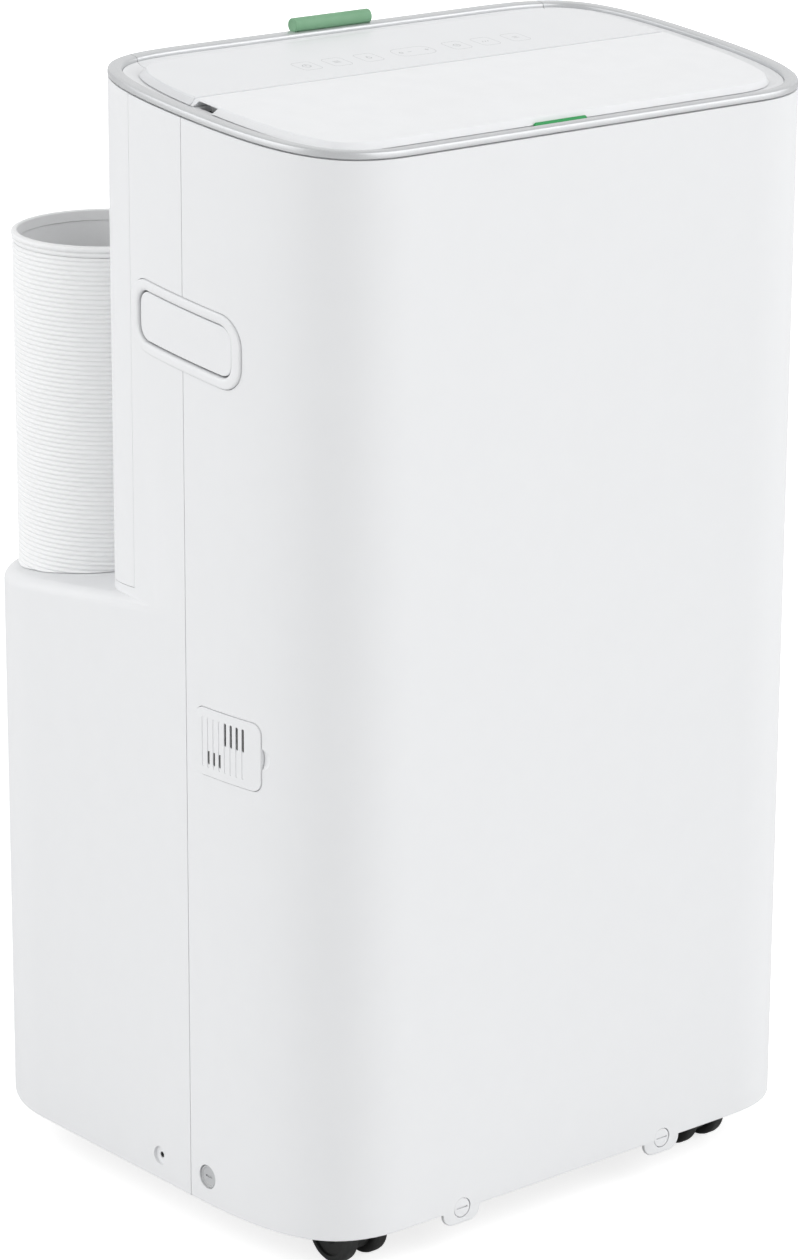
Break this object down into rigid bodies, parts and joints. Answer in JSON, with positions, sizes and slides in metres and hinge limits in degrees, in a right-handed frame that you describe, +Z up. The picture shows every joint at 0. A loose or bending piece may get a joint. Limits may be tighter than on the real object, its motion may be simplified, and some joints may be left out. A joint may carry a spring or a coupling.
{
  "type": "portable air conditioner",
  "caption": "Floor-standing portable air conditioner on casters with a stored exhaust hose, lift-up air flap, pull-out filter and side handles.",
  "frame": {"origin": "on the floor under the centre of the object's bounding box", "axes": "+Z up, the front panel faces -Y, +X to the viewer's right from the front"},
  "size_m": [0.433, 0.38, 0.7475],
  "materials": {
    "shell_white": "fine satin moulded white",
    "panel_grey": "smooth pale grey touch panel",
    "rim_silver": "satin silver paint",
    "tab_green": "satin green",
    "light_green": "lit green light pipe",
    "hose_white": "ribbed white hose",
    "caster_black": "black nylon",
    "dark_plastic": "dark grey plastic",
    "soft_grey": "plain grey plastic",
    "gland_rubber": "black rubber",
    "steel": "zinc plated sheet",
    "compressor_black": "black paint",
    "fin_aluminium": "thin fins",
    "copper": "bare copper tube"
  },
  "bodies": {
    "cabinet": {"base_pan": "soft_grey", "front_shell": "shell_white", "rear_shell": "shell_white", "rear_upper_cover": "shell_white", "lower_rear_grille": "shell_white", "top_rim": "rim_silver", "top_deck": "shell_white", "control_panel": "panel_grey", "status_light": "light_green", "handle_cup_left": "shell_white", "handle_cup_right": "shell_white", "room_sensor": "dark_plastic", "side_screw": "steel", "cord_gland": "gland_rubber", "hose_socket": "hose_white", "exhaust_hose": "hose_white", "evaporator_coil": "fin_aluminium", "condenser_coil": "fin_aluminium", "compressor": "compressor_black", "discharge_pipe": "copper", "suction_pipe": "copper", "drip_tray": "shell_white", "evaporator_housing": "soft_grey", "evaporator_motor": "steel", "condenser_housing": "soft_grey", "condenser_motor": "steel", "outlet_duct": "dark_plastic", "flap_motor": "steel", "control_box": "steel"},
    "flap": {"air_flap": "shell_white"},
    "filter": {"filter_cap": "rim_silver", "filter_frame": "soft_grey", "filter_net": "dark_plastic", "pull_tab": "tab_green"},
    "hose_end": {"hose_collar": "hose_white"},
    "handle_left": {"handle_flap_left": "shell_white"},
    "handle_right": {"handle_flap_right": "shell_white"},
    "sensor_lid": {"sensor_cover": "shell_white"},
    "lock_left": {"lock_disc_left": "shell_white"},
    "lock_right": {"lock_disc_right": "shell_white"},
    "side_plug": {"side_drain_plug": "soft_grey"},
    "rear_plug": {"rear_drain_plug": "soft_grey"},
    "fan_evaporator": {"evaporator_blower": "dark_plastic"},
    "fan_condenser": {"condenser_blower": "dark_plastic"},
    "vane_1": {"guide_vane_1": "dark_plastic"},
    "vane_2": {"guide_vane_2": "dark_plastic"},
    "vane_3": {"guide_vane_3": "dark_plastic"},
    "caster_front_left": {"caster_front_left_fork": "caster_black"},
    "wheel_front_left_a": {"caster_front_left_wheel_a": "caster_black"},
    "wheel_front_left_b": {"caster_front_left_wheel_b": "caster_black"},
    "caster_front_right": {"caster_front_right_fork": "caster_black"},
    "wheel_front_right_a": {"caster_front_right_wheel_a": "caster_black"},
    "wheel_front_right_b": {"caster_front_right_wheel_b": "caster_black"},
    "caster_rear_left": {"caster_rear_left_fork": "caster_black"},
    "wheel_rear_left_a": {"caster_rear_left_wheel_a": "caster_black"},
    "wheel_rear_left_b": {"caster_rear_left_wheel_b": "caster_black"},
    "caster_rear_right": {"caster_rear_right_fork": "caster_black"},
    "wheel_rear_right_a": {"caster_rear_right_wheel_a": "caster_black"},
    "wheel_rear_right_b": {"caster_rear_right_wheel_b": "caster_black"}
  },
  "joints": [
    {"name": "flap_hinge", "type": "hinge", "parent": "cabinet", "child": "flap", "pos_m": [0, -0.0499, 0.72629], "axis": [-1, 0, 0], "range_deg": [0, 65]},
    {"name": "filter_pull", "type": "slide", "parent": "cabinet", "child": "filter", "axis": [0, 0, 1], "range_m": [0, 0.3]},
    {"name": "hose_stretch", "type": "slide", "parent": "cabinet", "child": "hose_end", "axis": [0, 0, 1], "range_m": [0, 1.25], "deforming": ["exhaust_hose"]},
    {"name": "left_handle_push", "type": "hinge", "parent": "cabinet", "child": "handle_left", "pos_m": [-0.2094, -0.064, 0.6042], "axis": [0, -0.9941, -0.1082], "range_deg": [0, 50], "stiffness_Nm_per_rad": 0.03, "springref_deg": -8.59},
    {"name": "right_handle_push", "type": "hinge", "parent": "cabinet", "child": "handle_right", "pos_m": [0.2094, -0.064, 0.6042], "axis": [0, 0.9941, 0.1082], "range_deg": [0, 50], "stiffness_Nm_per_rad": 0.03, "springref_deg": -8.59},
    {"name": "sensor_lid_pull", "type": "slide", "parent": "cabinet", "child": "sensor_lid", "axis": [-1, 0, 0], "range_m": [0, 0.03]},
    {"name": "left_lock_turn", "type": "hinge", "parent": "cabinet", "child": "lock_left", "pos_m": [-0.0955, -0.188, 0.029], "axis": [0, -1, 0], "range_deg": [0, 90]},
    {"name": "right_lock_turn", "type": "hinge", "parent": "cabinet", "child": "lock_right", "pos_m": [0.0775, -0.188, 0.029], "axis": [0, -1, 0], "range_deg": [0, 90]},
    {"name": "side_plug_pull", "type": "slide", "parent": "cabinet", "child": "side_plug", "axis": [-1, 0, 0], "range_m": [0, 0.03]},
    {"name": "rear_plug_pull", "type": "slide", "parent": "cabinet", "child": "rear_plug", "axis": [0, 1, 0], "range_m": [0, 0.03]},
    {"name": "evaporator_fan_spin", "type": "hinge", "parent": "cabinet", "child": "fan_evaporator", "pos_m": [0, -0.07, 0.56], "axis": [0, 1, 0], "continuous": true},
    {"name": "condenser_fan_spin", "type": "hinge", "parent": "cabinet", "child": "fan_condenser", "pos_m": [-0.08, 0.098, 0.2], "axis": [0, 1, 0], "continuous": true},
    {"name": "vane_1_turn", "type": "hinge", "parent": "cabinet", "child": "vane_1", "pos_m": [-0.08, -0.11, 0.68], "axis": [0, 0, 1], "range_deg": [-30, 30]},
    {"name": "vane_2_turn", "type": "hinge", "parent": "cabinet", "child": "vane_2", "pos_m": [0, -0.11, 0.68], "axis": [0, 0, 1], "range_deg": [-30, 30]},
    {"name": "vane_3_turn", "type": "hinge", "parent": "cabinet", "child": "vane_3", "pos_m": [0.08, -0.11, 0.68], "axis": [0, 0, 1], "range_deg": [-30, 30]},
    {"name": "front_left_swivel", "type": "hinge", "parent": "cabinet", "child": "caster_front_left", "pos_m": [-0.156, -0.136, 0.05], "axis": [0, 0, 1], "continuous": true},
    {"name": "front_left_roll_a", "type": "hinge", "parent": "caster_front_left", "child": "wheel_front_left_a", "pos_m": [-0.168, -0.15, 0.02], "axis": [1, 0, 0], "continuous": true},
    {"name": "front_left_roll_b", "type": "hinge", "parent": "caster_front_left", "child": "wheel_front_left_b", "pos_m": [-0.144, -0.15, 0.02], "axis": [1, 0, 0], "continuous": true},
    {"name": "front_right_swivel", "type": "hinge", "parent": "cabinet", "child": "caster_front_right", "pos_m": [0.138, -0.136, 0.05], "axis": [0, 0, 1], "continuous": true},
    {"name": "front_right_roll_a", "type": "hinge", "parent": "caster_front_right", "child": "wheel_front_right_a", "pos_m": [0.126, -0.15, 0.02], "axis": [1, 0, 0], "continuous": true},
    {"name": "front_right_roll_b", "type": "hinge", "parent": "caster_front_right", "child": "wheel_front_right_b", "pos_m": [0.15, -0.15, 0.02], "axis": [1, 0, 0], "continuous": true},
    {"name": "rear_left_swivel", "type": "hinge", "parent": "cabinet", "child": "caster_rear_left", "pos_m": [-0.156, 0.136, 0.05], "axis": [0, 0, 1], "continuous": true},
    {"name": "rear_left_roll_a", "type": "hinge", "parent": "caster_rear_left", "child": "wheel_rear_left_a", "pos_m": [-0.168, 0.122, 0.02], "axis": [1, 0, 0], "continuous": true},
    {"name": "rear_left_roll_b", "type": "hinge", "parent": "caster_rear_left", "child": "wheel_rear_left_b", "pos_m": [-0.144, 0.122, 0.02], "axis": [1, 0, 0], "continuous": true},
    {"name": "rear_right_swivel", "type": "hinge", "parent": "cabinet", "child": "caster_rear_right", "pos_m": [0.138, 0.136, 0.05], "axis": [0, 0, 1], "continuous": true},
    {"name": "rear_right_roll_a", "type": "hinge", "parent": "caster_rear_right", "child": "wheel_rear_right_a", "pos_m": [0.126, 0.122, 0.02], "axis": [1, 0, 0], "continuous": true},
    {"name": "rear_right_roll_b", "type": "hinge", "parent": "caster_rear_right", "child": "wheel_rear_right_b", "pos_m": [0.15, 0.122, 0.02], "axis": [1, 0, 0], "continuous": true}
  ],
  "couplings": [
    {"joint": "vane_2_turn", "follows": "vane_1_turn", "ratio": 1},
    {"joint": "vane_3_turn", "follows": "vane_1_turn", "ratio": 1}
  ]
}
